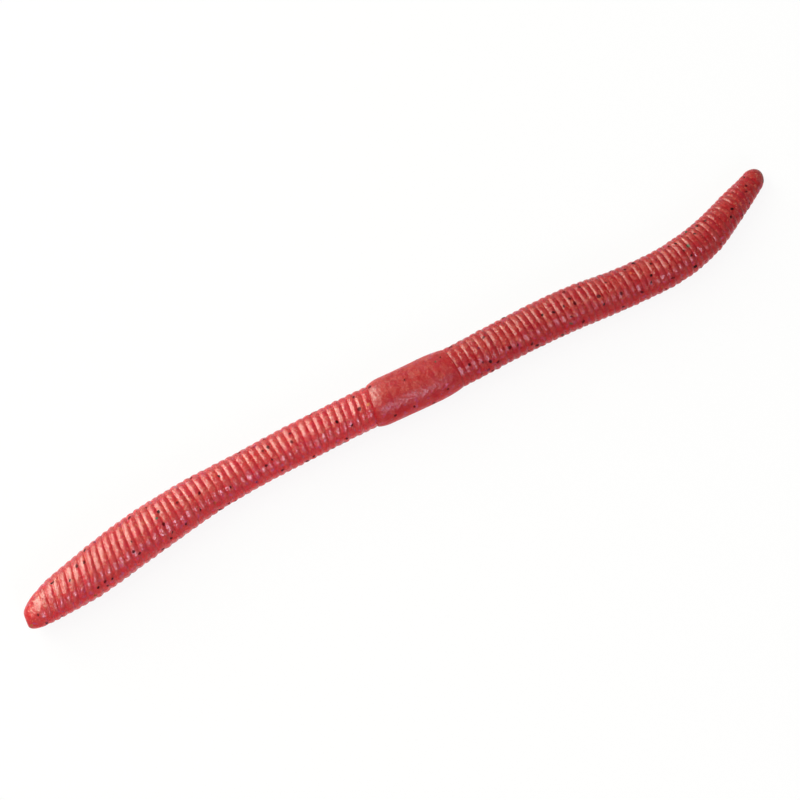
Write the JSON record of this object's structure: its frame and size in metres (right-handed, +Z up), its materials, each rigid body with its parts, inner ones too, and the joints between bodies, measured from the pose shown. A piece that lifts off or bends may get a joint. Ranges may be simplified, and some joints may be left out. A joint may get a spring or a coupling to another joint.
{
  "type": "soft plastic worm",
  "caption": "Straight ringed soft plastic fishing worm that flexes along its length, with a blunt nose, a smooth raised saddle band and a tapered rounded tail.",
  "frame": {"origin": "on the table under the middle of the bounding box", "axes": "+X from the blunt nose to the tail, along the longest extent; +Y to the side that the tail kicks towards; +Z up"},
  "size_m": [0.121, 0.0132, 0.0068],
  "materials": {
    "front_plastic": "translucent salmon-red soft plastic, slightly glossy, glitter flakes inside",
    "saddle_plastic": "translucent red soft plastic, smooth and satin",
    "rear_plastic": "translucent deep red soft plastic, slightly glossy, glitter flakes inside",
    "black_flake": "black hexagonal foil flake",
    "gold_flake": "gold hexagonal foil flake",
    "green_flake": "green hexagonal foil flake",
    "violet_flake": "blue-violet hexagonal foil flake"
  },
  "bodies": {
    "saddle": {"saddle": "saddle_plastic"},
    "front_section_1": {"front_section_1": "front_plastic"},
    "front_section_2": {"front_section_2": "front_plastic"},
    "front_section_3": {"front_section_3": "front_plastic"},
    "front_section_4": {"front_section_4": "front_plastic"},
    "front_section_5": {"front_section_5": "front_plastic"},
    "front_section_6": {"front_section_6": "front_plastic"},
    "nose": {"nose": "front_plastic"},
    "rear_section_1": {"rear_section_1": "rear_plastic"},
    "rear_section_2": {"rear_section_2": "rear_plastic"},
    "rear_section_3": {"rear_section_3": "rear_plastic"},
    "rear_section_4": {"rear_section_4": "rear_plastic"},
    "rear_section_5": {"rear_section_5": "rear_plastic"},
    "rear_section_6": {"rear_section_6": "rear_plastic"},
    "tail_tip": {"tail_tip": "rear_plastic"}
  },
  "joints": [
    {"name": "front_section_1_side_bend", "type": "hinge", "parent": "saddle", "child": "front_section_1", "pos_m": [-0.00779, 0.00185, 0.00318], "axis": [0, 0, -1], "range_deg": [-30, 30], "stiffness_Nm_per_rad": 0.00088},
    {"name": "front_section_2_lift_bend", "type": "hinge", "parent": "front_section_1", "child": "front_section_2", "pos_m": [-0.01514, 0.00261, 0.00294], "axis": [0.1455, 0.9894, 0], "range_deg": [-30, 30], "stiffness_Nm_per_rad": 0.00064},
    {"name": "front_section_3_side_bend", "type": "hinge", "parent": "front_section_2", "child": "front_section_3", "pos_m": [-0.02256, 0.00317, 0.00286], "axis": [0, 0, -1], "range_deg": [-30, 30], "stiffness_Nm_per_rad": 0.00058},
    {"name": "front_section_4_lift_bend", "type": "hinge", "parent": "front_section_3", "child": "front_section_4", "pos_m": [-0.03007, 0.00347, 0.00308], "axis": [0.0103, 0.9999, 0], "range_deg": [-30, 30], "stiffness_Nm_per_rad": 0.00077},
    {"name": "front_section_5_side_bend", "type": "hinge", "parent": "front_section_4", "child": "front_section_5", "pos_m": [-0.03759, 0.00329, 0.00334], "axis": [0, 0, -1], "range_deg": [-30, 30], "stiffness_Nm_per_rad": 0.00108},
    {"name": "front_section_6_lift_bend", "type": "hinge", "parent": "front_section_5", "child": "front_section_6", "pos_m": [-0.04518, 0.00279, 0.00342], "axis": [0.2098, 0.9777, 0], "range_deg": [-30, 30], "stiffness_Nm_per_rad": 0.00117},
    {"name": "nose_side_bend", "type": "hinge", "parent": "front_section_6", "child": "nose", "pos_m": [-0.05282, 0.00229, 0.00329], "axis": [0, 0, -1], "range_deg": [-30, 30], "stiffness_Nm_per_rad": 0.00101},
    {"name": "rear_section_1_side_bend", "type": "hinge", "parent": "saddle", "child": "rear_section_1", "pos_m": [0.01049, -0.00019, 0.0032], "axis": [0, 0, 1], "range_deg": [-30, 30], "stiffness_Nm_per_rad": 0.00097},
    {"name": "rear_section_2_lift_bend", "type": "hinge", "parent": "rear_section_1", "child": "rear_section_2", "pos_m": [0.01752, -0.00069, 0.00309], "axis": [-0.0123, -0.9999, 0], "range_deg": [-30, 30], "stiffness_Nm_per_rad": 0.00084},
    {"name": "rear_section_3_side_bend", "type": "hinge", "parent": "rear_section_2", "child": "rear_section_3", "pos_m": [0.02441, -0.00138, 0.00302], "axis": [0, 0, 1], "range_deg": [-30, 30], "stiffness_Nm_per_rad": 0.00077},
    {"name": "rear_section_4_lift_bend", "type": "hinge", "parent": "rear_section_3", "child": "rear_section_4", "pos_m": [0.03112, -0.00251, 0.00295], "axis": [-0.0764, -0.9971, 0], "range_deg": [-30, 30], "stiffness_Nm_per_rad": 0.0007},
    {"name": "rear_section_5_side_bend", "type": "hinge", "parent": "rear_section_4", "child": "rear_section_5", "pos_m": [0.03772, -0.00353, 0.00286], "axis": [0, 0, 1], "range_deg": [-30, 30], "stiffness_Nm_per_rad": 0.00061},
    {"name": "rear_section_6_lift_bend", "type": "hinge", "parent": "rear_section_5", "child": "rear_section_6", "pos_m": [0.04427, -0.00366, 0.00278], "axis": [0.0565, -0.9984, 0], "range_deg": [-30, 30], "stiffness_Nm_per_rad": 0.00055},
    {"name": "tail_tip_side_bend", "type": "hinge", "parent": "rear_section_6", "child": "tail_tip", "pos_m": [0.05057, -0.00239, 0.00245], "axis": [0, 0, 1], "range_deg": [-30, 30], "stiffness_Nm_per_rad": 0.00033}
  ]
}
